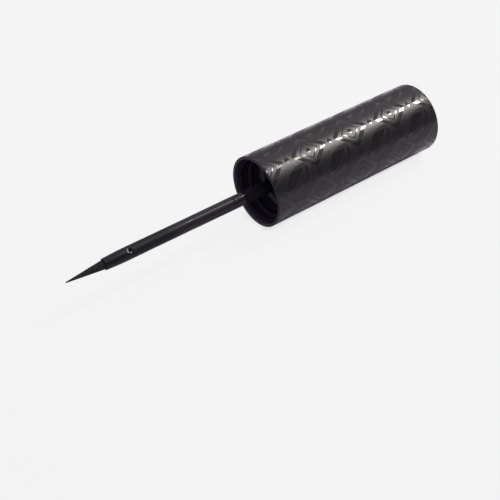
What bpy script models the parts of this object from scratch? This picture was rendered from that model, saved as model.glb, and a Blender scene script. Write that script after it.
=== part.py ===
"""Applicator of a liquid eyeliner: a screw cap with a stem and a pointed brush.

The applicator lies on its side. The origin is on the ground below its middle,
+X runs along the axis from the brush's point to the closed end and +Z is up.
Each piece is made about an axis of its own, with its height measured from the
closed end to the brush, and one empty lays them all down. Lengths are in metres.
"""

import math

import bmesh
import bpy
from mathutils import Matrix, Vector

# Whole cap
CAP_RADIUS = 0.0080
CAP_LENGTH = 0.0465
EDGE_BREAK = 0.00015
CUT_OVERRUN = 0.0010
WELD_DISTANCE = 0.0000001

# Outer shell
SHELL_WALL = 0.00057
SHELL_END_THICKNESS = 0.0012
SHELL_END_ROUNDING = 0.0002
SHELL_RIM_ROUNDING = 0.00012
SHELL_RIM_LAND = 0.00038
SHELL_LEAD_IN_DEPTH = 0.0001
SHELL_INNER_FILLET = 0.0006

# Snap bead that holds the shell on the inner cap
BEAD_HEIGHT = 0.00015
BEAD_WIDTH = 0.0012
BEAD_DISTANCE_FROM_LINER_END = 0.0069

# Inner cap, the liner of the shell
LINER_SIDE_CLEARANCE = 0.00005
LINER_SETBACK = 0.00075
LINER_LENGTH = 0.0250
LINER_WALL = 0.00068
LINER_SKIRT_WALL = 0.0009
LINER_LEAD_IN_SHARE = 0.65
LINER_WEB_THICKNESS = 0.0015
SEAT_DEPTH_BELOW_MOUTH = 0.0070
SEAT_WIDTH = 0.0018
HOLLOW_DEPTH = 0.0050
HOLLOW_FILLET = 0.0004
BOSS_WALL = 0.0011
BOSS_HEIGHT = 0.0035

# Thread inside the inner cap
THREAD_HEIGHT = 0.0005
THREAD_PITCH = 0.0022
THREAD_ROOT_WIDTH = 0.0010
THREAD_CREST_WIDTH = 0.0004
THREAD_EMBED = 0.00015
THREAD_START_DEPTH = 0.0011
THREAD_END_ABOVE_RING = 0.0006
THREAD_RUN_OUT_TURN_SHARE = 0.12

# Sealing ring
RING_SETBACK = 0.0001
RING_THICKNESS = 0.0010
RING_SIDE_CLEARANCE = 0.0001
SEAT_CLEARANCE = 0.00003

# Stem
STEM_RADIUS = 0.001445
STEM_REACH = 0.0371
SHANK_SWELL = 0.000055
SOCKET_CLEARANCE = 0.00003
SNAP_DEPTH = 0.0001
SNAP_WIDTH = 0.0008
FLANGE_WIDTH = 0.0010
FLANGE_THICKNESS = 0.0012
LINE_DISTANCE_FROM_MOUTH = 0.00615
LINE_WIDTH = 0.0002
LINE_DEPTH = 0.00006
DRAFT_NARROWING = 0.000085
STEP_DISTANCE_FROM_END = 0.0095
STEP_WIDTH = 0.0001
STEP_HEIGHT = 0.00002
END_TAPER_LENGTH = 0.0038
END_NARROWING = 0.00015
END_ROUNDING = 0.00012

# Bore and stake that hold the brush
END_WALL = 0.00023
BORE_DEPTH = 0.0072
BORE_FLARE = 0.0001
STAKE_DISTANCE_FROM_END = 0.00566
STAKE_ANGLE = math.radians(-32)
STAKE_PIT_RADIUS = 0.0005
STAKE_PIT_DEPTH = 0.0003
STAKE_BUMP_RADIUS = 0.0005
STAKE_BUMP_HEIGHT = 0.0002

# Root plug of the brush
PLUG_SIDE_CLEARANCE = 0.00003
PLUG_END_CLEARANCE = 0.00005
PLUG_RECESS = 0.00078

# Brush
BRUSH_LENGTH = 0.0083
BRUSH_BELLY_CLEARANCE = 0.00005
BRUSH_BELLY_DISTANCE = 0.00045
BRUSH_POINT_RADIUS = 0.00008
BACKING_CLEARANCE = 0.0002
BACKING_THICKNESS = 0.00025
BACKING_RECESS = 0.0001
BRISTLE_RINGS = 10
BRISTLE_TO_SPACING_SHARE = 0.37
SHORTEST_BRISTLE_SHARE = 0.80

# Sides of the round pieces
CAP_SIDES = 64
STEM_SIDES = 40
BALL_SIDES = 24
BALL_BANDS = 12
ARC_STEPS = 4
SMOOTH_ANGLE = math.radians(35)

# Radii, worked out from the sizes above
CAP_BORE_RADIUS = CAP_RADIUS - SHELL_WALL
LINER_RADIUS = CAP_BORE_RADIUS - LINER_SIDE_CLEARANCE
THREAD_ROOT_RADIUS = LINER_RADIUS - LINER_WALL
HOLLOW_RADIUS = THREAD_ROOT_RADIUS - SEAT_WIDTH
SHANK_RADIUS = STEM_RADIUS + SHANK_SWELL
SOCKET_RADIUS = SHANK_RADIUS + SOCKET_CLEARANCE
RADIUS_BEFORE_STEP = STEM_RADIUS - DRAFT_NARROWING
RADIUS_AFTER_STEP = RADIUS_BEFORE_STEP + STEP_HEIGHT
END_RADIUS = RADIUS_AFTER_STEP - END_NARROWING
BORE_RADIUS = END_RADIUS - END_WALL
BACKING_RADIUS = BORE_RADIUS - BACKING_CLEARANCE
BELLY_RADIUS = BORE_RADIUS - BRUSH_BELLY_CLEARANCE

# Heights above the closed end, worked out from the sizes above
LINER_TOP = CAP_LENGTH - SHELL_LEAD_IN_DEPTH - LINER_SETBACK
LINER_BOTTOM = LINER_TOP - LINER_LENGTH
BEAD_Z = LINER_BOTTOM + BEAD_DISTANCE_FROM_LINER_END
SEAT_Z = CAP_LENGTH - SEAT_DEPTH_BELOW_MOUTH
RING_BOTTOM = SEAT_Z + SEAT_CLEARANCE
RING_TOP = RING_BOTTOM + RING_THICKNESS
FLOOR_Z = SEAT_Z - HOLLOW_DEPTH
BOSS_TOP = FLOOR_Z + BOSS_HEIGHT
WEB_Z = FLOOR_Z - LINER_WEB_THICKNESS
SNAP_Z = (WEB_Z + BOSS_TOP) / 2
STEM_END = CAP_LENGTH + STEM_REACH
STEP_Z = STEM_END - STEP_DISTANCE_FROM_END
STAKE_Z = STEM_END - STAKE_DISTANCE_FROM_END
BORE_BOTTOM = STEM_END - BORE_DEPTH
PLUG_TOP = STEM_END - PLUG_RECESS
BRISTLE_ROOT = STEM_END - BACKING_RECESS
OVERALL_LENGTH = STEM_END + BRUSH_LENGTH


def clear_scene():
    for obj in list(bpy.data.objects):
        bpy.data.objects.remove(obj, do_unlink=True)


def material(name, colour, roughness, metallic=0.0):
    made = bpy.data.materials.new(name)
    made.use_nodes = True
    shader = made.node_tree.nodes["Principled BSDF"]
    shader.inputs["Base Color"].default_value = (*colour, 1.0)
    shader.inputs["Roughness"].default_value = roughness
    shader.inputs["Metallic"].default_value = metallic
    made.diffuse_color = (*colour, 1.0)
    return made


def add_object(name, bm, finish=None, origin_z=0.0):
    """Makes an object of a mesh, with its origin at a height on the axis."""
    bmesh.ops.translate(bm, verts=bm.verts, vec=Vector((0, 0, -origin_z)))
    bmesh.ops.recalc_face_normals(bm, faces=bm.faces)
    mesh = bpy.data.meshes.new(name)
    bm.to_mesh(mesh)
    bm.free()
    mesh.shade_smooth()
    mesh.set_sharp_from_angle(angle=SMOOTH_ANGLE)
    obj = bpy.data.objects.new(name, mesh)
    obj.location.z = origin_z
    bpy.context.scene.collection.objects.link(obj)
    if finish:
        mesh.materials.append(finish)
    return obj


def as_cutter(obj):
    obj.hide_render = True
    obj.display_type = "WIRE"
    return obj


def boolean(obj, tool, operation):
    cut = obj.modifiers.new(tool.name, "BOOLEAN")
    cut.object = tool
    cut.operation = operation
    cut.solver = "EXACT"


def arc(centre_r, centre_z, radius, start_degrees, end_degrees):
    """Points of a round corner in the profile plane, in order from start to end."""
    points = []
    for step in range(ARC_STEPS + 1):
        angle = math.radians(start_degrees + (end_degrees - start_degrees) * step / ARC_STEPS)
        points.append((centre_r + radius * math.cos(angle), centre_z + radius * math.sin(angle)))
    return points


def turned(profile, sides, closed=False):
    """Spins a profile of (radius, height) points about the axis; a closed one is a ring.

    The corners stand half a side round, so that the applicator lies on a flat side.
    """
    bm = bmesh.new()
    points = [bm.verts.new((radius, 0, height)) for radius, height in profile]
    edges = [bm.edges.new(pair) for pair in zip(points, points[1:])]
    if closed:
        edges.append(bm.edges.new((points[-1], points[0])))
    bmesh.ops.spin(
        bm, geom=points + edges, cent=(0, 0, 0), axis=(0, 0, 1),
        angle=math.tau, steps=sides, use_merge=True,
    )
    bmesh.ops.remove_doubles(bm, verts=bm.verts, dist=WELD_DISTANCE)
    half_side = Matrix.Rotation(math.pi / sides, 3, "Z")
    bmesh.ops.rotate(bm, verts=bm.verts, cent=(0, 0, 0), matrix=half_side)
    return bm


def ball(name, radius, distance, height, angle):
    """A ball beside the axis, used to cut a pit or to leave a bump."""
    place = Matrix.Translation((distance * math.cos(angle), distance * math.sin(angle), height))
    bm = bmesh.new()
    bmesh.ops.create_uvsphere(
        bm, u_segments=BALL_SIDES, v_segments=BALL_BANDS, radius=radius, matrix=place,
    )
    return as_cutter(add_object(name, bm))


def outer_shell():
    """The decorated shell: a deep cup, closed at the bottom, rounded at the mouth."""
    inside = CAP_BORE_RADIUS
    corner = SHELL_END_ROUNDING
    rim = SHELL_RIM_ROUNDING
    profile = [(0, 0)]
    profile += arc(CAP_RADIUS - corner, corner, corner, -90, 0)
    profile += arc(CAP_RADIUS - rim, CAP_LENGTH - rim, rim, 0, 90)
    profile += [
        (CAP_RADIUS - rim - SHELL_RIM_LAND, CAP_LENGTH),
        (inside, CAP_LENGTH - SHELL_LEAD_IN_DEPTH),
        (inside, BEAD_Z + BEAD_WIDTH / 2),
        (inside + BEAD_HEIGHT, BEAD_Z + BEAD_WIDTH / 4),
        (inside + BEAD_HEIGHT, BEAD_Z - BEAD_WIDTH / 4),
        (inside, BEAD_Z - BEAD_WIDTH / 2),
    ]
    fillet = SHELL_INNER_FILLET
    profile += arc(inside - fillet, SHELL_END_THICKNESS + fillet, fillet, 0, -90)
    profile.append((0, SHELL_END_THICKNESS))
    finish = material("satin_gunmetal", (0.045, 0.042, 0.045), 0.32, 0.75)
    add_object("outer_shell", turned(profile, CAP_SIDES), finish)


def thread_ridge():
    """The right-hand thread's ridge, which fades into the wall at both ends."""
    start = LINER_TOP - THREAD_START_DEPTH
    end = RING_TOP + THREAD_END_ABOVE_RING
    steps = round((start - end) / THREAD_PITCH * CAP_SIDES)
    run_out = THREAD_RUN_OUT_TURN_SHARE * CAP_SIDES
    bm = bmesh.new()
    rows = []
    for step in range(steps + 1):
        angle = -math.tau * step / CAP_SIDES
        height = start - THREAD_PITCH * step / CAP_SIDES
        rise = min(1, step / run_out, (steps - step) / run_out)
        crest = THREAD_ROOT_RADIUS - THREAD_HEIGHT * rise
        back = THREAD_ROOT_RADIUS + THREAD_EMBED
        section = [
            (back, height - THREAD_ROOT_WIDTH / 2),
            (crest, height - THREAD_CREST_WIDTH / 2),
            (crest, height + THREAD_CREST_WIDTH / 2),
            (back, height + THREAD_ROOT_WIDTH / 2),
        ]
        rows.append([bm.verts.new((r * math.cos(angle), r * math.sin(angle), z)) for r, z in section])
    for row, after in zip(rows, rows[1:]):
        for side in range(len(row)):
            other = (side + 1) % len(row)
            bm.faces.new((row[side], row[other], after[other], after[side]))
    bm.faces.new(rows[0])
    bm.faces.new(rows[-1])
    return as_cutter(add_object("thread_ridge", bm))


def inner_cap():
    """The liner: threaded skirt, seat for the sealing ring, boss and socket for the stem."""
    skirt_inside = LINER_RADIUS - LINER_SKIRT_WALL
    lead_in = (LINER_WALL - EDGE_BREAK) * LINER_LEAD_IN_SHARE
    boss = SOCKET_RADIUS + BOSS_WALL
    profile = [
        (skirt_inside, LINER_BOTTOM),
        (LINER_RADIUS - EDGE_BREAK, LINER_BOTTOM),
        (LINER_RADIUS, LINER_BOTTOM + EDGE_BREAK),
        (LINER_RADIUS, BEAD_Z - BEAD_WIDTH / 2),
        (LINER_RADIUS + BEAD_HEIGHT, BEAD_Z - BEAD_WIDTH / 4),
        (LINER_RADIUS + BEAD_HEIGHT, BEAD_Z + BEAD_WIDTH / 4),
        (LINER_RADIUS, BEAD_Z + BEAD_WIDTH / 2),
        (LINER_RADIUS, LINER_TOP - EDGE_BREAK),
        (LINER_RADIUS - EDGE_BREAK, LINER_TOP),
        (THREAD_ROOT_RADIUS + lead_in, LINER_TOP),
        (THREAD_ROOT_RADIUS, LINER_TOP - lead_in),
        (THREAD_ROOT_RADIUS, SEAT_Z),
        (HOLLOW_RADIUS, SEAT_Z),
    ]
    profile += arc(HOLLOW_RADIUS - HOLLOW_FILLET, FLOOR_Z + HOLLOW_FILLET, HOLLOW_FILLET, 0, -90)
    profile += [
        (boss, FLOOR_Z),
        (boss, BOSS_TOP - EDGE_BREAK),
        (boss - EDGE_BREAK, BOSS_TOP),
        (SOCKET_RADIUS + EDGE_BREAK, BOSS_TOP),
        (SOCKET_RADIUS, BOSS_TOP - EDGE_BREAK),
        (SOCKET_RADIUS, SNAP_Z + SNAP_WIDTH / 2),
        (SOCKET_RADIUS - SNAP_DEPTH, SNAP_Z),
        (SOCKET_RADIUS, SNAP_Z - SNAP_WIDTH / 2),
        (SOCKET_RADIUS, WEB_Z),
        (skirt_inside, WEB_Z),
    ]
    finish = material("black_liner_plastic", (0.012, 0.011, 0.014), 0.38)
    liner = add_object("inner_cap", turned(profile, CAP_SIDES, closed=True), finish)
    boolean(liner, thread_ridge(), "UNION")


def sealing_ring():
    """The soft washer on the seat, on which the bottle's lip closes."""
    inside = HOLLOW_RADIUS + RING_SETBACK
    outside = THREAD_ROOT_RADIUS - RING_SIDE_CLEARANCE
    profile = [
        (inside, RING_BOTTOM),
        (outside, RING_BOTTOM),
        (outside, RING_TOP - EDGE_BREAK),
        (outside - EDGE_BREAK, RING_TOP),
        (inside + EDGE_BREAK, RING_TOP),
        (inside, RING_TOP - EDGE_BREAK),
    ]
    finish = material("grey_washer", (0.16, 0.17, 0.155), 0.55)
    add_object("sealing_ring", turned(profile, CAP_SIDES, closed=True), finish)


def stem():
    """The moulded rod: flange, shank with its snap groove, long draft, step and tapered end."""
    flange = SHANK_RADIUS + FLANGE_WIDTH
    flange_top = WEB_Z - SEAT_CLEARANCE
    flange_bottom = flange_top - FLANGE_THICKNESS
    line_z = CAP_LENGTH + LINE_DISTANCE_FROM_MOUTH
    draft = DRAFT_NARROWING / (STEP_Z - CAP_LENGTH)
    line_radius = STEM_RADIUS - draft * LINE_DISTANCE_FROM_MOUTH
    profile = [
        (0, flange_bottom),
        (flange - EDGE_BREAK, flange_bottom),
        (flange, flange_bottom + EDGE_BREAK),
        (flange, flange_top),
        (SHANK_RADIUS, flange_top),
        (SHANK_RADIUS, SNAP_Z - SNAP_WIDTH / 2),
        (SHANK_RADIUS - SNAP_DEPTH, SNAP_Z),
        (SHANK_RADIUS, SNAP_Z + SNAP_WIDTH / 2),
        (SHANK_RADIUS, BOSS_TOP),
        (STEM_RADIUS, CAP_LENGTH),
        (line_radius, line_z - LINE_WIDTH / 2),
        (line_radius - LINE_DEPTH, line_z),
        (line_radius, line_z + LINE_WIDTH / 2),
        (RADIUS_BEFORE_STEP, STEP_Z),
        (RADIUS_AFTER_STEP, STEP_Z + STEP_WIDTH),
        (RADIUS_AFTER_STEP, STEM_END - END_TAPER_LENGTH),
    ]
    profile += arc(END_RADIUS - END_ROUNDING, STEM_END - END_ROUNDING, END_ROUNDING, 0, 90)
    profile.append((0, STEM_END))
    finish = material("glossy_black_plastic", (0.014, 0.013, 0.014), 0.18)
    rod = add_object("stem", turned(profile, STEM_SIDES), finish)
    boolean(rod, brush_bore(), "DIFFERENCE")
    pit_distance = RADIUS_AFTER_STEP - STAKE_PIT_DEPTH + STAKE_PIT_RADIUS
    pit = ball("stake_pit", STAKE_PIT_RADIUS, pit_distance, STAKE_Z, STAKE_ANGLE)
    boolean(rod, pit, "DIFFERENCE")


def brush_bore():
    """The bore's cutter, hollowed where the stake's bump stands out of the bore's wall."""
    mouth = BORE_RADIUS + BORE_FLARE
    profile = [
        (0, BORE_BOTTOM),
        (BORE_RADIUS, BORE_BOTTOM),
        (BORE_RADIUS, STEM_END - BORE_FLARE),
        (mouth, STEM_END),
        (mouth, STEM_END + CUT_OVERRUN),
        (0, STEM_END + CUT_OVERRUN),
    ]
    cutter = as_cutter(add_object("brush_bore", turned(profile, STEM_SIDES)))
    boolean(cutter, stake_bump("stake_bump", 0.0), "DIFFERENCE")
    return cutter


def stake_bump(name, clearance):
    """The ball whose cap is the bump inside the bore, grown by a clearance."""
    distance = BORE_RADIUS - STAKE_BUMP_HEIGHT + STAKE_BUMP_RADIUS
    return ball(name, STAKE_BUMP_RADIUS + clearance, distance, STAKE_Z, STAKE_ANGLE)


def root_plug():
    """The fused roots of the bristles in the bore, notched by the stake's bump."""
    radius = BORE_RADIUS - PLUG_SIDE_CLEARANCE
    bottom = BORE_BOTTOM + PLUG_END_CLEARANCE
    profile = [
        (0, bottom),
        (radius - EDGE_BREAK, bottom),
        (radius, bottom + EDGE_BREAK),
        (radius, PLUG_TOP - EDGE_BREAK),
        (radius - EDGE_BREAK, PLUG_TOP),
        (0, PLUG_TOP),
    ]
    finish = material("fused_bristle_root", (0.02, 0.018, 0.017), 0.5)
    plug = add_object("root_plug", turned(profile, STEM_SIDES), finish)
    boolean(plug, stake_bump("plug_notch", PLUG_SIDE_CLEARANCE), "DIFFERENCE")


def hexagon_to_disc(x, y):
    """Moves a point of a hexagonal lattice so that each of its rings becomes a circle."""
    reach = math.hypot(x, y)
    if reach == 0:
        return 0.0, 0.0
    sixth = math.tau / 6
    sector, within = divmod(math.atan2(y, x) % math.tau, sixth)
    from_middle = within - sixth / 2
    ring = reach * math.cos(from_middle) / math.cos(sixth / 2)
    angle = (sector + 0.5) * sixth + math.tan(from_middle) / math.tan(sixth / 2) * sixth / 2
    return ring * math.cos(angle), ring * math.sin(angle)


def bristle_sites():
    """Lattice places of the bristles: full hexagonal rings round a middle one."""
    rings = range(-BRISTLE_RINGS, BRISTLE_RINGS + 1)
    places = [(q, r) for q in rings for r in rings if abs(q + r) <= BRISTLE_RINGS]
    return [(q + r / 2, r * math.sqrt(3) / 2) for q, r in places]


def bristle(bm, site, spacing, length_share):
    """One three-sided bristle, from its root triangle to its point; returns the root's corners."""
    x, y = hexagon_to_disc(*site)
    thickness = BRISTLE_TO_SPACING_SHARE * spacing
    belly_z = STEM_END + BRUSH_BELLY_DISTANCE
    tip_z = belly_z + (BRUSH_LENGTH - BRUSH_BELLY_DISTANCE) * length_share
    belly_spread = BELLY_RADIUS / BACKING_RADIUS
    point_spread = BRUSH_POINT_RADIUS / BACKING_RADIUS
    tip_spread = belly_spread + (point_spread - belly_spread) * length_share
    levels = []
    for height, spread in ((BRISTLE_ROOT, 1), (belly_z, belly_spread)):
        level = []
        for side in range(3):
            angle = math.tau * (side / 3 + 1 / 12)
            place_x = x * spacing * spread + thickness * math.cos(angle)
            place_y = y * spacing * spread + thickness * math.sin(angle)
            level.append(bm.verts.new((place_x, place_y, height)))
        levels.append(level)
    point = bm.verts.new((x * spacing * tip_spread, y * spacing * tip_spread, tip_z))
    for side in range(3):
        other = (side + 1) % 3
        low, high = levels
        bm.faces.new((low[side], low[other], high[other], high[side]))
        bm.faces.new((high[side], high[other], point))
    return levels[0]


def bristle_tuft():
    """Tapering bristles that rise from one slice of their backing and close to a point.

    The slice's face is a sheet of six-sided cells, one round each bristle's root, so
    bristles and slice are one closed surface.
    """
    bm = bmesh.new()
    corners = {}
    spacing = BACKING_RADIUS / (BRISTLE_RINGS + 0.5)
    cell_reach = 1 / math.sqrt(3)

    def corner(x, y):
        key = (round(x * 100), round(y * 100))
        if key not in corners:
            disc_x, disc_y = hexagon_to_disc(x, y)
            corners[key] = bm.verts.new((disc_x * spacing, disc_y * spacing, BRISTLE_ROOT))
        return corners[key]

    golden = (math.sqrt(5) - 1) / 2
    for number, site in enumerate(bristle_sites()):
        outward = math.hypot(*site) / BRISTLE_RINGS
        shortening = (1 - SHORTEST_BRISTLE_SHARE) * outward * (number * golden % 1)
        root = bristle(bm, site, spacing, 1 - shortening)
        cell = []
        for step in range(6):
            angle = math.tau * (step / 6 + 1 / 12)
            beside = site[0] + cell_reach * math.cos(angle)
            above = site[1] + cell_reach * math.sin(angle)
            cell.append(corner(beside, above))
        for side in range(3):
            here, middle, there = cell[2 * side], cell[2 * side + 1], cell[(2 * side + 2) % 6]
            bm.faces.new((root[side], here, middle))
            bm.faces.new((root[side], middle, root[(side + 1) % 3]))
            bm.faces.new((root[(side + 1) % 3], middle, there))
    rim = [edge for edge in bm.edges if edge.is_boundary]
    wall = bmesh.ops.extrude_edge_only(bm, edges=rim)["geom"]
    lower = [vert for vert in wall if isinstance(vert, bmesh.types.BMVert)]
    bmesh.ops.translate(bm, verts=lower, vec=Vector((0, 0, -BACKING_THICKNESS)))
    bmesh.ops.contextual_create(bm, geom=[edge for edge in bm.edges if edge.is_boundary])
    finish = material("brush_bristles", (0.018, 0.015, 0.013), 0.45)
    add_object("bristle_tuft", bm, finish, origin_z=STEM_END)


def lay_down():
    """Parents every piece and cutter to one empty, which lays the axis on the ground's X."""
    pieces = list(bpy.context.scene.collection.objects)
    axis = bpy.data.objects.new("applicator_axis", None)
    bpy.context.scene.collection.objects.link(axis)
    axis.location = (OVERALL_LENGTH / 2, 0, CAP_RADIUS * math.cos(math.pi / CAP_SIDES))
    axis.rotation_euler = (0, math.radians(-90), 0)
    for piece in pieces:
        piece.parent = axis


def build():
    clear_scene()
    outer_shell()
    inner_cap()
    sealing_ring()
    stem()
    root_plug()
    bristle_tuft()
    lay_down()


build()
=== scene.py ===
"""Looks of a liquid eyeliner's applicator: fine surfaces, finishes, floor, light and camera.

The applicator lies along X, with its brush's point towards -X, on a floor at z = 0.
Angles round its axis are measured from the top, towards +Y. Lengths are in metres.
"""
import math
import random

import bmesh
import bpy
from mathutils import Matrix, Quaternion, Vector

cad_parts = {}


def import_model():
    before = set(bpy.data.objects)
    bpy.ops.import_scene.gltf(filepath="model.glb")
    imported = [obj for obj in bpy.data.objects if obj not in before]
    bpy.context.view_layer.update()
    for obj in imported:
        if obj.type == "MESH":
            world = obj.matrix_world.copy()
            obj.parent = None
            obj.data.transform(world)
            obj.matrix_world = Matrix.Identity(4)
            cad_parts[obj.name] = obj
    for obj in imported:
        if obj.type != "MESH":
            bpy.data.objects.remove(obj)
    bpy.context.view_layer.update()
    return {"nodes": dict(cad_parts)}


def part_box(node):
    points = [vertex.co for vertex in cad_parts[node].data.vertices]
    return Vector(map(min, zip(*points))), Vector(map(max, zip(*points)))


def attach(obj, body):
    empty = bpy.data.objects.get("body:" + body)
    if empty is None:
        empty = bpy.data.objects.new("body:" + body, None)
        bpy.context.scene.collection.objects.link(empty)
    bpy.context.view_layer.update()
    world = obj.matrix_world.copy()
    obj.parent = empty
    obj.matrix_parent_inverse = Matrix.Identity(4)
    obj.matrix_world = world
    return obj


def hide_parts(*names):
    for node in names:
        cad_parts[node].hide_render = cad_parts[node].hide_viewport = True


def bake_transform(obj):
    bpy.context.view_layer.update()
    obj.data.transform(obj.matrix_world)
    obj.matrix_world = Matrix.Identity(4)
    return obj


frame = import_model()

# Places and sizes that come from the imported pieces
SHELL_LOW, SHELL_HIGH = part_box("outer_shell")
LINER_LOW, LINER_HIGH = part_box("inner_cap")
RING_LOW, RING_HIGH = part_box("sealing_ring")
STEM_LOW, STEM_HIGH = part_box("stem")
TUFT_LOW, TUFT_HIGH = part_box("bristle_tuft")
AXIS_Z = (SHELL_LOW.z + SHELL_HIGH.z) / 2
CAP_RADIUS = (SHELL_HIGH.z - SHELL_LOW.z) / 2
MOUTH_X = SHELL_LOW.x
CLOSED_X = SHELL_HIGH.x
STEM_END_X = STEM_LOW.x
POINT_X = TUFT_LOW.x
BRUSH_RADIUS = (TUFT_HIGH.z - TUFT_LOW.z) / 2
MIDDLE = Vector(((MOUTH_X + CLOSED_X) / 2, 0, AXIS_Z))

# Shell
SHELL_WALL = 0.00057
SHELL_END_THICKNESS = 0.0012
SHELL_END_ROUNDING = 0.0002
SHELL_RIM_ROUNDING = 0.00012
SHELL_RIM_LAND = 0.00038
SHELL_LEAD_IN_DEPTH = 0.0001
SHELL_INNER_FILLET = 0.0006
# width of the painted highlight along the rim's inner edge
RIM_HIGHLIGHT_WIDTH = 0.00012
RIM_FADE = 0.00004
BEAD_HEIGHT = 0.00015
BEAD_WIDTH = 0.0012
BEAD_DISTANCE_FROM_LINER_END = 0.0069

# Liner and its thread
LINER_SIDE_CLEARANCE = 0.00005
LINER_WALL = 0.00068
LINER_SKIRT_WALL = 0.0009
LINER_LEAD_IN = 0.00035
LINER_WEB_THICKNESS = 0.0015
LINER_EDGE_ROUNDING = 0.00015
# where the liner's painted light starts to grow, as a share of the seat's depth
LINER_PAINTED_LIGHT_START_SHARE = 0.15
SEAT_DEPTH = 0.0070
SEAT_WIDTH = 0.0018
WASHER_SETBACK = 0.00015
HOLLOW_DEPTH = 0.0050
HOLLOW_FILLET = 0.0004
BOSS_WALL = 0.0011
BOSS_HEIGHT = 0.0035
SOCKET_RADIUS = 0.00153
THREAD_HEIGHT = 0.0005
THREAD_PITCH = 0.0022
THREAD_ROOT_WIDTH = 0.0010
THREAD_CREST_WIDTH = 0.0004
THREAD_START_DEPTH = 0.0011
THREAD_END_BEFORE_RING = 0.0006
THREAD_RUN_OUT_TURNS = 0.12
THREAD_RINGS = 56
LINER_RADIUS = CAP_RADIUS - SHELL_WALL - LINER_SIDE_CLEARANCE
THREAD_ROOT_RADIUS = LINER_RADIUS - LINER_WALL
HOLLOW_RADIUS = THREAD_ROOT_RADIUS - SEAT_WIDTH

# Stem
STEM_RADIUS = 0.001445
SHANK_RADIUS = 0.0015
FLANGE_WIDTH = 0.0010
FLANGE_THICKNESS = 0.0012
LINE_DISTANCE_FROM_MOUTH = 0.00615
LINE_WIDTH = 0.0003
LINE_DEPTH = 0.00008
SUPPORT_GAP = 0.00005
RADIUS_BEFORE_STEP = 0.00136
RADIUS_AFTER_STEP = 0.00138
STEP_DISTANCE_FROM_END = 0.0095
STEP_WIDTH = 0.0001
END_TAPER_LENGTH = 0.0038
END_RADIUS = 0.00123
END_ROUNDING = 0.00012
BORE_RADIUS = 0.0010
BORE_FLARE = 0.0001
BORE_DEPTH = 0.0072

# Film of liner on the stem, and its wet streaks, each by its middle and half length
FILM_EDGE_X = MOUTH_X - 0.0185
FILM_END_X = MOUTH_X - 0.0305
FILM_EDGE_WIDTH = 0.004
STREAKS = ((MOUTH_X - 0.0172, 0.0012), (MOUTH_X - 0.0036, 0.0012))
STREAK_EDGE = 0.0006
# fade of the painted shade on the stem inside the mouth
MOUTH_FADE = 0.002

# Pit that the staking punch left
PIT_X = STEM_END_X + 0.00566
PIT_ANGLE = math.radians(-32)
PIT_BALL_RADIUS = 0.0005
PIT_DEPTH = 0.0003
PIT_BURR_REACH = 0.00052
PIT_BURR_WIDTH = 0.00009
PIT_BURR_HEIGHT = 0.00005
PIT_BURR_EVEN_SHARE = 0.6
PIT_BURR_TURN = 1.0
PIT_TEAR_WIDTH = 0.00022
PIT_TEAR_SLANT = (1.4, 0.5)
PIT_FIELD = 0.0009
PIT_RING_SPACING = 0.00004

# Brush
BRISTLE_SEED = 7
BRISTLE_COUNT = 460
BRISTLE_SIDES = 4
BRISTLE_LEVELS = 9
BRISTLE_RADIUS = 0.000030
BRISTLE_POINT_RADIUS = 0.000016
BRISTLE_ROOT_DEPTH = 0.00035
BRISTLE_TAPER_POWER = 1.5
BRISTLE_WAVE = 0.000018
LEAST_WAVE_SHARE = 0.3
BRISTLE_SPREAD_AT_POINT = 0.0001
BRUSH_BELLY_DISTANCE = 0.00045
SHORTEST_BRISTLE_SHARE = 0.78

# Sides and steps of the round pieces
CAP_SIDES = 256
STEM_SIDES = 128
ARC_STEPS = 8
WALL_RINGS = 16
SMOOTH_ANGLE = math.radians(35)

# Print on the shell
PRINT_ROWS = 4
PRINT_COLUMNS = 5
PRINT_TURN = math.radians(-22)
PRINT_EDGE = 0.00005
PRINT_THICKNESS = 0.000006
FINE_LINE = 0.0003
LOZENGE_SHARE = 0.36
LOZENGE_LINE = 0.0009
LOZENGE_STEP = 0.0012
LOZENGE_DOT_RADIUS = 0.0006
LEAF_SLANT = math.radians(40)
LEAF_HALF_LENGTH = 0.0041
LEAF_HALF_WIDTH = 0.0019
LEAF_LINE = 0.0006
DIAMOND_REACH = 0.0008

# Colours of the finishes, the uneven ones in pairs
LACQUER = ((0.0275, 0.0258, 0.0305), (0.069, 0.0648, 0.0765))
INK = (0.008, 0.006, 0.006)
BARE_WALL = ((0.033, 0.028, 0.046), (0.045, 0.038, 0.060))
# painted shade on the rim's land, and a painted highlight along its inner edge
RIM_LAND_PAINTED_SHADE = (0.020, 0.0165, 0.027)
RIM_PAINTED_HIGHLIGHT = (0.140, 0.122, 0.165)
LINER_NEAR_MOUTH = ((0.011, 0.008, 0.018), (0.016, 0.012, 0.025))
# painted light: the liner's colour deep in the mouth, paler than near the mouth
LINER_DEEP_PAINTED_LIGHT = (0.040, 0.035, 0.058)
WASHER = ((0.052, 0.050, 0.061), (0.074, 0.072, 0.083))
STEM_WET = ((0.013, 0.0115, 0.017), (0.022, 0.0195, 0.027))
# colours of the dried film, also used as painted shade on the stem inside the mouth
STEM_DRIED_FILM_AND_MOUTH_SHADE = ((0.003, 0.0028, 0.005), (0.008, 0.0075, 0.011))
# painted shade in the pit's hollow, and painted glints on the crumbs of its torn rim
PIT_PAINTED_SHADE = (0.001, 0.001, 0.001)
TORN_RIM_PAINTED_GLINT = (0.85, 0.75, 0.70)
FUSED_ROOT = ((0.015, 0.013, 0.012), (0.03, 0.027, 0.025))
BRISTLE_DAMP = (0.013, 0.0095, 0.0105)
BRISTLE_FLECK = (0.09, 0.078, 0.078)

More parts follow.
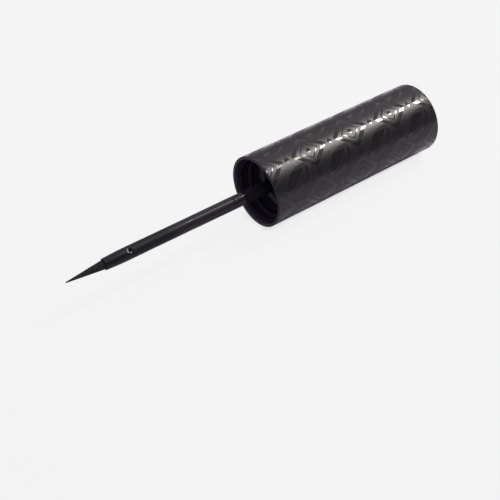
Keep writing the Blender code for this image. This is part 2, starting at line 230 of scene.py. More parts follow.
# Sizes of the noise in the finishes
FLAKE_SIZE = 0.00028
LACQUER_PATCH_SIZE = 0.006
PLASTIC_GRAIN_SIZE = 0.0004
WASHER_GRAIN_SIZE = 0.0003
FILM_PATCH_SIZE = 0.0007
SPECK_SIZE = 0.00018
CRUMB_SIZE = 0.00016
ROOT_GRAIN_SIZE = 0.0002
FLECK_SIZE = 0.00018

# Levels of noise over which the crumbs' painted glints and the flecks show, and the rise to their full
# colour
CRUMB_LEVEL = 0.47
CRUMB_RISE = 1 / 12
FLECK_LEVEL = 0.57
FLECK_RISE = 0.2

# Roughness, and what each unevenness adds to it or takes from it
LACQUER_ROUGHNESS = 0.345
LACQUER_PATCH_ROUGHNESS = 0.05
INK_ROUGHNESS = 0.08
STEM_ROUGHNESS = 0.22
FILM_PATCH_ROUGHNESS = 0.1
SPECK_ROUGHNESS = 0.08
DRIED_ROUGHNESS = 0.20
STEM_END_GLOSS = 0.18
STREAK_GLOSS = 0.27
PIT_ROUGHNESS = 0.8
LEAST_STEM_ROUGHNESS = 0.08
ROOT_ROUGHNESS = 0.5
BRISTLE_ROUGHNESS = 0.38
FLECK_ROUGHNESS = 0.2

# Relief for shading: its depth, and for the lacquer and the stem the shares that make it up
PLASTIC_RELIEF = 0.000004
WASHER_RELIEF = 0.00001
ROOT_RELIEF = 0.00001
FLAKE_RELIEF_SHARE = 4.2
STEM_RELIEF = 0.000012
FILM_PATCH_RELIEF_SHARE = 0.3
SPECK_RELIEF_SHARE = 0.6
CRUMB_RELIEF_SHARE = 4.0
STREAK_SMOOTHING_SHARE = 0.8

# Camera, as it stood for the photograph: the place of the mouth's centre in it is in pixels
IMAGE_SIDE_PX = 500
FOCAL_LENGTH_PX = 950
MOUTH_PX = (255.57, 192.26)
CAMERA_DEPTH = 0.1999
CAMERA_AZIMUTH = math.radians(-37.45)
CAMERA_ELEVATION = math.radians(40.86)
CAMERA_ROLL = math.radians(-0.4)

# Floor, backdrop and light
FLOOR_SIDE = 8.0
FLOOR_COLOUR = (0.80, 0.78, 0.91)
FLOOR_GLOW = 0.915
PALE_GREY = (0.896, 0.896, 0.896)
SHADOW_SHARE_SEEN = 0.06
SHADOW_SHARE_REFLECTED = 0.90
# reach and depth of the contact shadow painted into the floor's glow
PAINTED_SHADOW_REACH = 0.0012
PAINTED_SHADOW_SHARE = 0.28
WORLD_LIGHT = (0.55, 0.54, 0.56)
SOFTBOX_DISTANCE = 0.45
SOFTBOX_WIDTH = 0.046
SOFTBOX_SIDE_TILT = math.radians(-6.5)
SOFTBOX_COLOUR = (1.0, 0.99, 0.80)

# Soft boxes: tilt towards the closed end, length and power
SOFTBOXES = {
    "far_box": (math.radians(40.55), 0.050, 0.56),
    "key_box": (math.radians(34.25), 0.050, 0.36),
    "near_box": (math.radians(28.75), 0.037, 0.063),
    "stem_box": (math.radians(22.9), 0.055, 0.255),
    "tail_box": (math.radians(14), 0.055, 0.020),
}

# Screens beside the applicator: their first and last angle round its axis, and their glow
SCREEN_DISTANCE = 0.60
SCREEN_HALF_LENGTH = 1.0
SCREEN_STRIPS = 24
FRONT_SCREEN = (math.radians(-38), math.radians(-89), (0.24, 0.25, 0.27))
BACK_SCREEN = (math.radians(61), math.radians(89), (0.40, 0.39, 0.40))


class Field:
    """A number that varies over a surface. Arithmetic on it adds math nodes to its tree."""

    def __init__(self, tree, socket):
        self.tree = tree
        self.socket = socket

    def join(self, operation, *others, clamp=False):
        """The result of a math node on this number and others."""
        node = self.tree.nodes.new("ShaderNodeMath")
        node.operation = operation
        node.use_clamp = clamp
        for place, value in enumerate((self, *others)):
            feed(self.tree, value, node.inputs[place])
        return Field(self.tree, node.outputs[0])

    def __add__(self, other):
        return self.join("ADD", other)

    def __sub__(self, other):
        return self.join("SUBTRACT", other)

    def __mul__(self, other):
        return self.join("MULTIPLY", other)

    def __truediv__(self, other):
        return self.join("DIVIDE", other)

    def size(self):
        return self.join("ABSOLUTE")

    def inside(self):
        """The number kept between 0 and 1."""
        return self.join("ADD", 0.0, clamp=True)

    def flipped(self):
        """1 minus the number."""
        return self * -1.0 + 1.0


def feed(tree, value, socket):
    """Links a field to a socket, or sets the socket to a plain number or colour."""
    if isinstance(value, Field):
        tree.links.new(value.socket, socket)
    else:
        socket.default_value = value


def long_way(across, along):
    """Length of a two-part distance."""
    return (across * across + along * along).join("SQRT")


def highest(*fields):
    """The highest of some fields; all but the first may be plain numbers."""
    best = fields[0]
    for field in fields[1:]:
        best = best.join("MAXIMUM", field)
    return best


def past(number, edge, width):
    """0 up to an edge, rising to 1 over a width past it."""
    return ((number - edge) * (1 / width)).inside()


def before(number, edge, width):
    """0 from an edge on, rising to 1 over a width before it."""
    return ((number - edge) * (-1 / width)).inside()


def repeated(distance, spacing):
    """Distance from the nearest of evenly spaced lines, the first of them at zero."""
    return distance.join("WRAP", spacing / 2, -spacing / 2)


def spot(distance):
    """1 where a distance is below zero, 0 elsewhere, with the print's soft edge."""
    return (distance * (-1 / PRINT_EDGE) + 0.5).inside()


def stroke(distance, width):
    """1 on a line of that width along distance zero, 0 beside it."""
    return spot(distance.size() - width / 2)


def new_finish(name):
    """A material with its tree and its Principled shader."""
    made = bpy.data.materials.new(name)
    made.use_nodes = True
    tree = made.node_tree
    return made, tree, tree.nodes["Principled BSDF"]


def surface_place(tree):
    """Fields of a point's x, and of its y and z from the applicator's axis."""
    place = tree.nodes.new("ShaderNodeTexCoord")
    parts = tree.nodes.new("ShaderNodeSeparateXYZ")
    tree.links.new(place.outputs["Object"], parts.inputs[0])
    x, y, z = (Field(tree, socket) for socket in parts.outputs)
    return x, y, z - AXIS_Z


def noise(tree, size, detail=3.0, stretch=(1, 1, 1)):
    """Field of noise from 0 to 1 with features of about that size, longer where stretched."""
    place = tree.nodes.new("ShaderNodeTexCoord")
    mapping = tree.nodes.new("ShaderNodeMapping")
    mapping.inputs["Scale"].default_value = [1 / size / s for s in stretch]
    texture = tree.nodes.new("ShaderNodeTexNoise")
    texture.inputs["Scale"].default_value = 1.0
    texture.inputs["Detail"].default_value = detail
    tree.links.new(place.outputs["Object"], mapping.inputs["Vector"])
    tree.links.new(mapping.outputs[0], texture.inputs["Vector"])
    return Field(tree, texture.outputs[0])


def blend_colours(tree, share, low, high):
    """Field of colours, from low where share is 0 to high where it is 1."""
    mix = tree.nodes.new("ShaderNodeMix")
    mix.data_type = "RGBA"
    feed(tree, share, mix.inputs["Factor"])
    for value, socket in ((low, mix.inputs[6]), (high, mix.inputs[7])):
        feed(tree, value if isinstance(value, Field) else (*value, 1.0), socket)
    return Field(tree, mix.outputs[2])


def bump(tree, shader, height, distance):
    """Raises the surface by up to a distance, for shading only."""
    node = tree.nodes.new("ShaderNodeBump")
    node.inputs["Distance"].default_value = distance
    tree.links.new(height.socket, node.inputs["Height"])
    tree.links.new(node.outputs[0], shader.inputs["Normal"])


def lozenge(along, around, half_length, half_width):
    """Distance outwards from the outline of a lozenge."""
    reach = half_length * half_width / math.hypot(half_length, half_width)
    return (along.size() / half_length + around.size() / half_width - 1.0) * reach


def leaf(along, around):
    """Distance outwards from the outline of a slanted leaf, and distance from its midrib."""
    cos = math.cos(LEAF_SLANT)
    sin = math.sin(LEAF_SLANT)
    lengthways = along * cos + around * sin
    across = around * cos - along * sin
    radius = (LEAF_HALF_LENGTH ** 2 + LEAF_HALF_WIDTH ** 2) / (2 * LEAF_HALF_WIDTH)
    edge = long_way(lengthways, across.size() + (radius - LEAF_HALF_WIDTH)) - radius
    return edge, across


def shell_print(along, around):
    """The print: double lozenges round a dot, half-filled slanted leaves and small diamonds."""
    row = (CLOSED_X - MOUTH_X) / PRINT_ROWS
    column = math.tau * CAP_RADIUS / PRINT_COLUMNS
    near_along = repeated(along, row)
    near_around = repeated(around, column)
    frame_edge = lozenge(near_along, near_around, row * LOZENGE_SHARE, column * LOZENGE_SHARE)
    far_along = repeated(along + row / 2, row)
    far_around = repeated(around + column / 2, column)
    leaf_edge, across = leaf(far_along, far_around)
    return highest(
        stroke(frame_edge, LOZENGE_LINE),
        stroke(frame_edge + LOZENGE_STEP, FINE_LINE),
        spot(long_way(near_along, near_around) - LOZENGE_DOT_RADIUS),
        stroke(leaf_edge, LEAF_LINE),
        spot(across * -1.0) * spot(leaf_edge),
        spot(lozenge(far_along, near_around, DIAMOND_REACH, DIAMOND_REACH)),
        spot(lozenge(near_along, far_around, DIAMOND_REACH, DIAMOND_REACH)),
    )


def shell_finish():
    """Satin gunmetal lacquer with a raised gloss black print on its side."""
    made, tree, shader = new_finish("satin_gunmetal_with_print")
    x, y, z = surface_place(tree)
    around = (y.join("ARCTAN2", z) - PRINT_TURN) * CAP_RADIUS
    on_side = past(long_way(y, z), CAP_RADIUS - SHELL_END_ROUNDING, PRINT_EDGE)
    ink = shell_print(x - MOUTH_X, around) * on_side
    flakes = noise(tree, FLAKE_SIZE)
    patches = noise(tree, LACQUER_PATCH_SIZE)
    colour = blend_colours(tree, ink, blend_colours(tree, flakes, *LACQUER), INK)
    feed(tree, colour, shader.inputs["Base Color"])
    feed(tree, ink.flipped(), shader.inputs["Metallic"])
    rough = ink * (INK_ROUGHNESS - LACQUER_ROUGHNESS) + LACQUER_ROUGHNESS
    feed(tree, rough + patches * LACQUER_PATCH_ROUGHNESS, shader.inputs["Roughness"])
    shader.inputs["Specular Tint"].default_value = (1.0, 0.90, 0.99, 1.0)
    bump(tree, shader, ink + flakes * ink.flipped() * FLAKE_RELIEF_SHARE, PRINT_THICKNESS)
    return made


def moulded_finish(name, grain_size, gloss, roughness, unevenness, relief):
    """A moulded finish with an even fine grain, still without its colour."""
    made, tree, shader = new_finish(name)
    grain = noise(tree, grain_size)
    shader.inputs["Specular IOR Level"].default_value = gloss
    feed(tree, grain * unevenness + roughness, shader.inputs["Roughness"])
    bump(tree, shader, grain, relief)
    return made, tree, shader, grain


def bare_finish():
    """The shell's own black plastic at the mouth; its rim is darker as painted shade, with a painted
    highlight along the rim's inner edge.
    """
    made, tree, shader, grain = moulded_finish(
        "bare_black_plastic", PLASTIC_GRAIN_SIZE, gloss=0.2, roughness=0.5, unevenness=0.1,
        relief=PLASTIC_RELIEF,
    )
    x, y, z = surface_place(tree)
    wall = blend_colours(tree, grain, *BARE_WALL)
    on_rim = before(x, MOUTH_X + SHELL_RIM_ROUNDING, RIM_FADE)
    # painted highlight: a pale line along the rim's inner edge, on a rim land darkened as painted
    # shade
    on_rim_highlight = before(long_way(y, z), CAP_RADIUS - SHELL_WALL + RIM_HIGHLIGHT_WIDTH, RIM_FADE)
    rim = blend_colours(tree, on_rim_highlight, RIM_LAND_PAINTED_SHADE, RIM_PAINTED_HIGHLIGHT)
    feed(tree, blend_colours(tree, on_rim, wall, rim), shader.inputs["Base Color"])
    return made


def liner_finish():
    """Black moulded plastic, made paler deep in the mouth by painted light."""
    made, tree, shader, grain = moulded_finish(
        "black_liner_plastic", PLASTIC_GRAIN_SIZE, gloss=0.05, roughness=0.6, unevenness=0.1,
        relief=PLASTIC_RELIEF,
    )
    x, _y, _z = surface_place(tree)
    # painted light: the colour grows paler deeper in the mouth, where little light reaches
    painted_light_deep = past(x, MOUTH_X + SEAT_DEPTH * LINER_PAINTED_LIGHT_START_SHARE, SEAT_DEPTH)
    near = blend_colours(tree, grain, *LINER_NEAR_MOUTH)
    feed(tree, blend_colours(tree, painted_light_deep, near, LINER_DEEP_PAINTED_LIGHT), shader.inputs["Base Color"])
    shader.inputs["Specular Tint"].default_value = (1.0, 0.9, 1.0, 1.0)
    return made


def washer_finish():
    made, tree, shader, grain = moulded_finish(
        "soft_grey_washer", WASHER_GRAIN_SIZE, gloss=0.2, roughness=0.45, unevenness=0.15,
        relief=WASHER_RELIEF,
    )
    feed(tree, blend_colours(tree, grain, *WASHER), shader.inputs["Base Color"])
    return made


def pit_marks(along, around, crumbs):
    """How far a point is in the pit, on its torn rim, and on the rim's crumbs that carry painted
    glints.
    """
    away = long_way(along, around)
    hole = before(away, PIT_BALL_RADIUS, PIT_BURR_WIDTH)
    rim = before((away - PIT_BURR_REACH).size(), PIT_TEAR_WIDTH, PIT_TEAR_WIDTH)
    slant_along, slant_around = PIT_TEAR_SLANT
    torn_side = before(along * slant_along + around * slant_around, 0.0, PIT_TEAR_WIDTH)
    return hole, rim, rim * torn_side * past(crumbs, CRUMB_LEVEL, CRUMB_RISE)


def stem_finish():
    """Glossy black plastic under a broken film of dried and wet liner, torn at the pit, with painted
    shade inside the mouth and in the pit and painted glints on the pit's torn rim.
    """
    made, tree, shader = new_finish("glossy_black_with_liner_film")
    x, y, z = surface_place(tree)
    patches = noise(tree, FILM_PATCH_SIZE, detail=4.0, stretch=(7, 1, 1))
    specks = noise(tree, SPECK_SIZE, detail=1.0, stretch=(1, 2, 2))
    crumbs = noise(tree, CRUMB_SIZE, detail=1.0)
    around = (y.join("ARCTAN2", z) - PIT_ANGLE) * STEM_RADIUS
    hole, rim, painted_glints = pit_marks(x - PIT_X, around, crumbs)
    dried = before(x, FILM_EDGE_X, FILM_EDGE_WIDTH)
    at_end = before(x, FILM_END_X, FILM_EDGE_WIDTH)
    in_mouth = past(x, MOUTH_X + MOUTH_FADE / 2, MOUTH_FADE)
    streak = highest(*[before((x - middle).size(), reach, STREAK_EDGE) for middle, reach in STREAKS])
    wet = blend_colours(tree, patches, *STEM_WET)
    dried_film_and_mouth_shade = blend_colours(tree, patches, *STEM_DRIED_FILM_AND_MOUTH_SHADE)
    # painted shade: inside the mouth the stem takes the dried film's dark colours
    black = blend_colours(tree, highest(dried, in_mouth), wet, dried_film_and_mouth_shade)
    # painted shade: the pit's hollow is coloured near black; painted highlight: crumbs on its torn rim
    # are coloured near white as glints, over their real relief
    with_pit_shade = blend_colours(tree, hole, black, PIT_PAINTED_SHADE)
    feed(tree, blend_colours(tree, painted_glints, with_pit_shade, TORN_RIM_PAINTED_GLINT), shader.inputs["Base Color"])
    shader.inputs["Specular IOR Level"].default_value = 0.26
    shader.inputs["Specular Tint"].default_value = (0.88, 0.84, 1.0, 1.0)
    rough = patches * FILM_PATCH_ROUGHNESS + specks * SPECK_ROUGHNESS + STEM_ROUGHNESS
    rough = rough + dried * DRIED_ROUGHNESS - at_end * STEM_END_GLOSS - streak * STREAK_GLOSS
    feed(tree, highest(rough, hole * PIT_ROUGHNESS, LEAST_STEM_ROUGHNESS), shader.inputs["Roughness"])
    smooth = highest(in_mouth, streak * STREAK_SMOOTHING_SHARE)
    grain = patches * FILM_PATCH_RELIEF_SHARE + specks * SPECK_RELIEF_SHARE
    torn = crumbs * rim * CRUMB_RELIEF_SHARE
    bump(tree, shader, grain * smooth.flipped() + torn, STEM_RELIEF)
    return made


def root_finish():
    made, tree, shader = new_finish("fused_bristle_root")
    grain = noise(tree, ROOT_GRAIN_SIZE, stretch=(5, 1, 1))
    feed(tree, blend_colours(tree, grain, *FUSED_ROOT), shader.inputs["Base Color"])
    shader.inputs["Roughness"].default_value = ROOT_ROUGHNESS
    bump(tree, shader, grain, ROOT_RELIEF)
    return made


def bristle_finish():
    """Fine dark fibre, damp with liner, with paler dry flecks."""
    made, tree, shader = new_finish("damp_bristles")
    flecks = noise(tree, FLECK_SIZE, detail=2.0, stretch=(2, 1, 1))
    pale = past(flecks, FLECK_LEVEL, FLECK_RISE)
    feed(tree, blend_colours(tree, pale, BRISTLE_DAMP, BRISTLE_FLECK), shader.inputs["Base Color"])
    shader.inputs["Specular Tint"].default_value = (1.0, 0.88, 0.95, 1.0)
    feed(tree, pale * FLECK_ROUGHNESS + BRISTLE_ROUGHNESS, shader.inputs["Roughness"])
    return made


def arc(centre_x, centre_r, radius, start_degrees, end_degrees):
    """(x, radius) points of a round corner, in order from start to end."""
    points = []
    for step in range(ARC_STEPS + 1):
        angle = math.radians(start_degrees + (end_degrees - start_degrees) * step / ARC_STEPS)
        points.append((centre_x + radius * math.cos(angle), centre_r + radius * math.sin(angle)))
    return points


def run(start, end, steps):
    """Points after start, up to and with end, in even steps."""
    return [
        (start[0] + (end[0] - start[0]) * n / steps, start[1] + (end[1] - start[1]) * n / steps)
        for n in range(1, steps + 1)
    ]


def even_angles(sides):
    return [math.tau * side / sides for side in range(sides)]


def turned(name, profile, angles, closed=False, shape=None):
    """A piece turned about the axis from (x, radius) points; shape may change its radii."""
    bm = bmesh.new()
    rings = []
    for x, radius in profile:
        if radius == 0:
            rings.append([bm.verts.new((x, 0, AXIS_Z))])
            continue
        ring = []
        for angle in angles:
            reach = shape(x, angle, radius) if shape else radius
            ring.append(bm.verts.new((x, reach * math.sin(angle), AXIS_Z + reach * math.cos(angle))))
        rings.append(ring)
    pairs = list(zip(rings, rings[1:]))
    if closed:
        pairs.append((rings[-1], rings[0]))
    for ring, after in pairs:
        for side in range(len(angles)):
            other = (side + 1) % len(angles)
            corners = [ring[side % len(ring)], ring[other % len(ring)]]
            corners += [after[other % len(after)], after[side % len(after)]]
            bm.faces.new(list(dict.fromkeys(corners)))
    return finished(name, bm)


def finished(name, bm):
    """An object of a mesh, with smooth faces and sharp corners."""
    bmesh.ops.recalc_face_normals(bm, faces=bm.faces)
    mesh = bpy.data.meshes.new(name)
    bm.to_mesh(mesh)
    bm.free()
    mesh.shade_smooth()
    mesh.set_sharp_from_angle(angle=SMOOTH_ANGLE)
    obj = bpy.data.objects.new(name, mesh)
    bpy.context.scene.collection.objects.link(obj)
    return obj


def stand_for(obj, node, finish):
    """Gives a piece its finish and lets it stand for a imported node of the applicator."""
    obj.data.materials.append(finish)
    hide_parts(node)
    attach(obj, "applicator")


def bead(radius):
    """Points of the snap bead on a wall, in order towards the closed end."""
    x = LINER_HIGH.x - BEAD_DISTANCE_FROM_LINER_END
    return [
        (x - BEAD_WIDTH / 2, radius),
        (x - BEAD_WIDTH / 4, radius + BEAD_HEIGHT),
        (x + BEAD_WIDTH / 4, radius + BEAD_HEIGHT),
        (x + BEAD_WIDTH / 2, radius),
    ]


def shell():
    """The decorated shell, of which only the outside is lacquered."""
    bore = CAP_RADIUS - SHELL_WALL
    corner = SHELL_END_ROUNDING
    rim = SHELL_RIM_ROUNDING
    fillet = SHELL_INNER_FILLET
    profile = [(CLOSED_X, 0)]
    profile += arc(CLOSED_X - corner, CAP_RADIUS - corner, corner, 0, 90)
    profile += run(profile[-1], (MOUTH_X + rim, CAP_RADIUS), WALL_RINGS)
    profile += arc(MOUTH_X + rim, CAP_RADIUS - rim, rim, 90, 180)[1:]
    profile += [(MOUTH_X, CAP_RADIUS - rim - SHELL_RIM_LAND), (MOUTH_X + SHELL_LEAD_IN_DEPTH, bore)]
    profile += bead(bore)
    profile += arc(CLOSED_X - SHELL_END_THICKNESS - fillet, bore - fillet, fillet, 90, 0)
    profile.append((CLOSED_X - SHELL_END_THICKNESS, 0))
    made = turned("cap_shell", profile, even_angles(CAP_SIDES))
    stand_for(made, "outer_shell", shell_finish())
    made.data.materials.append(bare_finish())
    for face in made.data.polygons:
        reach = math.hypot(face.center.y, face.center.z - AXIS_Z)
        inside = reach < CAP_RADIUS - rim and face.center.x < CLOSED_X - SHELL_END_THICKNESS / 2
        if inside or face.center.x < MOUTH_X + rim:
            face.material_index = 1


def liner():
    """The threaded liner, with the washer's seat and the boss and socket for the stem."""
    outside = LINER_RADIUS
    root = THREAD_ROOT_RADIUS
    skirt = LINER_RADIUS - LINER_SKIRT_WALL
    hollow = HOLLOW_RADIUS
    boss = SOCKET_RADIUS + BOSS_WALL
    edge = LINER_EDGE_ROUNDING
    front = LINER_LOW.x
    back = LINER_HIGH.x
    seat_x = MOUTH_X + SEAT_DEPTH
    floor_x = seat_x + HOLLOW_DEPTH
    boss_x = floor_x - BOSS_HEIGHT
    web_x = floor_x + LINER_WEB_THICKNESS
    thread_start = front + THREAD_START_DEPTH
    turns = (RING_LOW.x - THREAD_END_BEFORE_RING - thread_start) / THREAD_PITCH

    def threaded(x, angle, radius):
        """The radius of the inside wall, less the height of the thread's ridge there."""
        if radius != root or x > RING_LOW.x:
            return radius
        turned_share = -angle / math.tau % 1
        place = (x - thread_start) / THREAD_PITCH - turned_share
        turn = max(0, round(place))
        along = turn + turned_share
        rise = max(0, min(1, along / THREAD_RUN_OUT_TURNS, (turns - along) / THREAD_RUN_OUT_TURNS))
        beside = abs(place - turn) * THREAD_PITCH
        slope = (THREAD_ROOT_WIDTH / 2 - beside) / (THREAD_ROOT_WIDTH - THREAD_CREST_WIDTH) * 2
        share = max(0, min(1, slope))
        return radius - THREAD_HEIGHT * rise * share * share * (3 - 2 * share)

    profile = [(back, skirt), (back, outside - edge), (back - edge, outside)]
    profile += reversed(bead(outside))
    profile += arc(front + edge, outside - edge, edge, 90, 180)
    profile += [(front, root + LINER_LEAD_IN), (front + LINER_LEAD_IN, root)]
    profile += run(profile[-1], (RING_LOW.x, root), THREAD_RINGS)
    profile += [(seat_x, root), (seat_x, hollow)]
    profile += arc(floor_x - HOLLOW_FILLET, hollow - HOLLOW_FILLET, HOLLOW_FILLET, 90, 0)
    profile.append((floor_x, boss))
    profile += arc(boss_x + edge, boss - edge, edge, 90, 180)
    profile += [
        (boss_x, SOCKET_RADIUS + edge),
        (boss_x + edge, SOCKET_RADIUS),
        (web_x, SOCKET_RADIUS),
        (web_x, skirt),
    ]
    made = turned("cap_liner", profile, even_angles(CAP_SIDES), closed=True, shape=threaded)
    stand_for(made, "inner_cap", liner_finish())


def washer():
    """The flat ring on its seat in the liner."""
    outside = RING_HIGH.z - AXIS_Z
    hole = HOLLOW_RADIUS + WASHER_SETBACK
    edge = LINER_EDGE_ROUNDING
    profile = [(RING_HIGH.x, hole), (RING_HIGH.x, outside)]
    profile += arc(RING_LOW.x + edge, outside - edge, edge, 90, 180)
    profile += arc(RING_LOW.x + edge, hole + edge, edge, 180, 270)
    made = turned("washer", profile, even_angles(CAP_SIDES), closed=True)
    stand_for(made, "sealing_ring", washer_finish())


def pitted(x, angle, radius):
    """The stem's radius with the pit and its burr."""
    if radius != RADIUS_AFTER_STEP:
        return radius
    away = (angle - PIT_ANGLE + math.pi) % math.tau - math.pi
    reach = math.hypot(x - PIT_X, away * radius)
    shoulder = PIT_BALL_RADIUS - PIT_DEPTH
    pit = 0.0
    if reach < PIT_BALL_RADIUS:
        pit = max(0.0, math.sqrt(PIT_BALL_RADIUS ** 2 - reach ** 2) - shoulder)
    round_pit = math.atan2(away * radius, x - PIT_X)
    wave = math.sin(2 * round_pit + PIT_BURR_TURN)
    crest = PIT_BURR_HEIGHT * (PIT_BURR_EVEN_SHARE + (1 - PIT_BURR_EVEN_SHARE) * wave)
    burr = crest * math.exp(-((reach - PIT_BURR_REACH) / PIT_BURR_WIDTH) ** 2)
    return radius - pit + burr


def stem_angles():
    """Angles round the stem, close together at the pit."""
    near = PIT_FIELD / RADIUS_AFTER_STEP
    fine = int(2 * PIT_FIELD / PIT_RING_SPACING)
    coarse = int(STEM_SIDES * (1 - near / math.pi))
    start = PIT_ANGLE - near
    angles = [start + 2 * near * n / fine for n in range(fine)]
    rest = math.tau - 2 * near
    return angles + [PIT_ANGLE + near + rest * n / coarse for n in range(coarse)]


def stem():
    """The rod: flange, shank, drafted length with its line and step, pit, tapered end and bore."""
    flange = SHANK_RADIUS + FLANGE_WIDTH
    back = STEM_HIGH.x
    flange_front = back - FLANGE_THICKNESS
    boss_x = MOUTH_X + SEAT_DEPTH + HOLLOW_DEPTH - BOSS_HEIGHT
    step_x = STEM_END_X + STEP_DISTANCE_FROM_END
    line_x = MOUTH_X - LINE_DISTANCE_FROM_MOUTH
    draft = (STEM_RADIUS - RADIUS_BEFORE_STEP) / (MOUTH_X - step_x)
    line_radius = STEM_RADIUS - draft * LINE_DISTANCE_FROM_MOUTH
    pit_rings = int(2 * PIT_FIELD / PIT_RING_SPACING)
    profile = [
        (back, 0),
        (back, flange),
        (flange_front, flange),
        (flange_front, SHANK_RADIUS),
        (boss_x, SHANK_RADIUS),
        (MOUTH_X, STEM_RADIUS),
        (line_x + LINE_WIDTH / 2 + SUPPORT_GAP, line_radius),
        (line_x + LINE_WIDTH / 2, line_radius),
        (line_x, line_radius - LINE_DEPTH),
        (line_x - LINE_WIDTH / 2, line_radius),
        (line_x - LINE_WIDTH / 2 - SUPPORT_GAP, line_radius),
        (step_x + SUPPORT_GAP, RADIUS_BEFORE_STEP),
        (step_x, RADIUS_BEFORE_STEP),
        (step_x - STEP_WIDTH, RADIUS_AFTER_STEP),
        (step_x - STEP_WIDTH - SUPPORT_GAP, RADIUS_AFTER_STEP),
        (PIT_X + PIT_FIELD, RADIUS_AFTER_STEP),
    ]
    profile += run(profile[-1], (PIT_X - PIT_FIELD, RADIUS_AFTER_STEP), pit_rings)
    profile.append((STEM_END_X + END_TAPER_LENGTH, RADIUS_AFTER_STEP))
    profile += arc(STEM_END_X + END_ROUNDING, END_RADIUS - END_ROUNDING, END_ROUNDING, 90, 180)
    profile += [
        (STEM_END_X, BORE_RADIUS + BORE_FLARE),
        (STEM_END_X + BORE_FLARE, BORE_RADIUS),
        (STEM_END_X + BORE_DEPTH, BORE_RADIUS),
        (STEM_END_X + BORE_DEPTH, 0),
    ]
    made = turned("stem_rod", profile, stem_angles(), shape=pitted)
    stand_for(made, "stem", stem_finish())


def bristle(bm, chance, number):
    """One tapering fibre, from inside the bore to its own end near the brush's point."""
    golden_angle = math.pi * (3 - math.sqrt(5))
    angle = golden_angle * number
    outward = math.sqrt((number + 0.5) / BRISTLE_COUNT)
    length_share = 1 - (1 - SHORTEST_BRISTLE_SHARE) * outward * chance.random() ** 2
    root_x = STEM_END_X + BRISTLE_ROOT_DEPTH
    belly_x = STEM_END_X - BRUSH_BELLY_DISTANCE
    end_x = belly_x + (POINT_X - belly_x) * length_share
    wave = BRISTLE_WAVE * chance.uniform(LEAST_WAVE_SHARE, 1)
    wave_angle = chance.uniform(0, math.tau)
    levels = []
    for level in range(BRISTLE_LEVELS + 1):
        share = level / BRISTLE_LEVELS
        x = root_x + (end_x - root_x) * share
        closing = max(0.0, (belly_x - x) / (belly_x - POINT_X))
        reach = outward * (BRUSH_RADIUS * (1 - closing) + BRISTLE_SPREAD_AT_POINT * closing)
        sway = wave * math.sin(math.pi * share) * (1 - closing)
        y = reach * math.sin(angle) + sway * math.sin(wave_angle)
        z = AXIS_Z + reach * math.cos(angle) + sway * math.cos(wave_angle)
        taper = share ** BRISTLE_TAPER_POWER
        thick = BRISTLE_RADIUS + (BRISTLE_POINT_RADIUS - BRISTLE_RADIUS) * taper
        levels.append([
            bm.verts.new((x, y + thick * math.sin(turn), z + thick * math.cos(turn)))
            for turn in even_angles(BRISTLE_SIDES)
        ])
    for ring, after in zip(levels, levels[1:]):
        for side in range(BRISTLE_SIDES):
            other = (side + 1) % BRISTLE_SIDES
            bm.faces.new((ring[side], ring[other], after[other], after[side]))
    bm.faces.new(levels[0])
    bm.faces.new(levels[-1])


def brush():
    """The bristles, from inside the stem's bore to near the brush's point."""
    chance = random.Random(BRISTLE_SEED)
    bm = bmesh.new()
    for number in range(BRISTLE_COUNT):
        bristle(bm, chance, number)
    made = finished("brush_bristles", bm)
    made.data.materials.append(bristle_finish())
    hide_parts("bristle_tuft")
    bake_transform(made)


def root():
    """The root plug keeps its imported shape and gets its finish."""
    frame["nodes"]["root_plug"].material_slots[0].material = root_finish()


def ray_kinds(tree):
    """Fields that are 1 for what the camera sees straight, and for what gloss and glass show."""
    path = tree.nodes.new("ShaderNodeLightPath")
    seen, gloss, glass = (
        Field(tree, path.outputs[f"Is {kind} Ray"]) for kind in ("Camera", "Glossy", "Transmission")
    )
    return seen, highest(gloss, glass)


def floor():
    """A pale floor that keeps its even grey in the picture, with a soft shadow and a contact shadow
    painted into its glow.
    """
    bm = bmesh.new()
    bmesh.ops.create_grid(bm, x_segments=1, y_segments=1, size=FLOOR_SIDE / 2)
    plane = finished("floor", bm)
    made, tree, shader = new_finish("pale_floor")
    shader.inputs["Base Color"].default_value = (*FLOOR_COLOUR, 1.0)
    shader.inputs["Roughness"].default_value = 1.0
    shader.inputs["Specular IOR Level"].default_value = 0.0
    even = tree.nodes.new("ShaderNodeEmission")
    contact = tree.nodes.new("ShaderNodeAmbientOcclusion")
    contact.inputs["Distance"].default_value = PAINTED_SHADOW_REACH
    open_share = Field(tree, contact.outputs["AO"])
    # painted shadow: the floor's glow is darkened where ambient occlusion finds the applicator close
    # by
    glow = (open_share * PAINTED_SHADOW_SHARE + (1 - PAINTED_SHADOW_SHARE)) * FLOOR_GLOW
    feed(tree, glow, even.inputs["Strength"])
    even.inputs["Color"].default_value = (1.0, 1.0, 1.0, 1.0)
    mix = tree.nodes.new("ShaderNodeMixShader")
    seen, reflected = ray_kinds(tree)
    share = seen * (1 - SHADOW_SHARE_SEEN) + reflected * (1 - SHADOW_SHARE_REFLECTED)
    feed(tree, share, mix.inputs["Fac"])
    tree.links.new(shader.outputs[0], mix.inputs[1])
    tree.links.new(even.outputs[0], mix.inputs[2])
    tree.links.new(mix.outputs[0], tree.nodes["Material Output"].inputs["Surface"])
    plane.data.materials.append(made)


def world():
    """Even light from all round, seen as a pale grey backdrop beyond the floor."""
    made = bpy.data.worlds.new("studio")
    made.use_nodes = True
    tree = made.node_tree
    light = tree.nodes["Background"]
    colour = blend_colours(tree, highest(*ray_kinds(tree)), WORLD_LIGHT, PALE_GREY)
    feed(tree, colour, light.inputs["Color"])
    bpy.context.scene.world = made


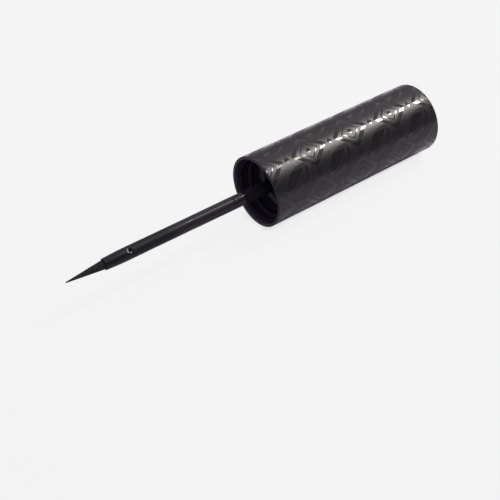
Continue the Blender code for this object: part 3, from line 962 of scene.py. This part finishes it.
def softbox(name, axis_tilt, length, power):
    """A small soft box above the applicator, tilted from its middle towards its closed end."""
    data = bpy.data.lights.new(name, "AREA")
    data.shape = "RECTANGLE"
    data.size = length
    data.size_y = SOFTBOX_WIDTH
    data.energy = power
    data.color = SOFTBOX_COLOUR
    lamp = bpy.data.objects.new(name, data)
    bpy.context.scene.collection.objects.link(lamp)
    up = Vector((0, math.sin(SOFTBOX_SIDE_TILT), math.cos(SOFTBOX_SIDE_TILT)))
    towards = up * math.cos(axis_tilt) + Vector((math.sin(axis_tilt), 0, 0))
    side = towards.cross(Vector((1, 0, 0))).normalized()
    long = side.cross(towards)
    turn = Matrix((long, side, towards)).transposed()
    lamp.matrix_world = Matrix.Translation(MIDDLE + towards * SOFTBOX_DISTANCE) @ turn.to_4x4()


def screen(name, start, end, glow):
    """A dim screen beside the applicator, which its gloss shows and the camera doesn't."""
    bm = bmesh.new()
    rows = []
    for strip in range(SCREEN_STRIPS + 1):
        angle = start + (end - start) * strip / SCREEN_STRIPS
        y = SCREEN_DISTANCE * math.sin(angle)
        z = AXIS_Z + SCREEN_DISTANCE * math.cos(angle)
        ends = (MIDDLE.x - SCREEN_HALF_LENGTH, MIDDLE.x + SCREEN_HALF_LENGTH)
        rows.append([bm.verts.new((x, y, z)) for x in ends])
    for row, after in zip(rows, rows[1:]):
        bm.faces.new((row[0], row[1], after[1], after[0]))
    made = finished(name, bm)
    finish, tree, _shader = new_finish(name)
    light = tree.nodes.new("ShaderNodeEmission")
    light.inputs["Color"].default_value = (*glow, 1.0)
    tree.links.new(light.outputs[0], tree.nodes["Material Output"].inputs["Surface"])
    made.data.materials.append(finish)
    made.visible_camera = False


def camera():
    """The photograph's camera, rolled a little about the mouth."""
    data = bpy.data.cameras.new("camera")
    data.lens = data.sensor_width * FOCAL_LENGTH_PX / IMAGE_SIDE_PX
    made = bpy.data.objects.new("camera", data)
    bpy.context.scene.collection.objects.link(made)
    level = math.cos(CAMERA_ELEVATION)
    back = Vector((
        math.sin(CAMERA_AZIMUTH) * level,
        -math.cos(CAMERA_AZIMUTH) * level,
        math.sin(CAMERA_ELEVATION),
    ))
    mouth = Vector((MOUTH_X, 0, AXIS_Z))
    turn = Quaternion(back, CAMERA_ROLL) @ (-back).to_track_quat("-Z", "Y")
    right = (MOUTH_PX[0] - IMAGE_SIDE_PX / 2) / FOCAL_LENGTH_PX * CAMERA_DEPTH
    above = (IMAGE_SIDE_PX / 2 - MOUTH_PX[1]) / FOCAL_LENGTH_PX * CAMERA_DEPTH
    seen_from_camera = Vector((right, above, -CAMERA_DEPTH))
    made.matrix_world = Matrix.Translation(mouth - turn @ seen_from_camera) @ turn.to_matrix().to_4x4()
    data.clip_start = CAMERA_DEPTH / 100
    data.clip_end = FLOOR_SIDE * 2
    bpy.context.scene.camera = made


camera()
shell()
liner()
washer()
stem()
root()
brush()
floor()
world()
for name, box in SOFTBOXES.items():
    softbox(name, *box)
screen("front_screen", *FRONT_SCREEN)
screen("back_screen", *BACK_SCREEN)
bpy.context.scene.view_settings.view_transform = "Standard"
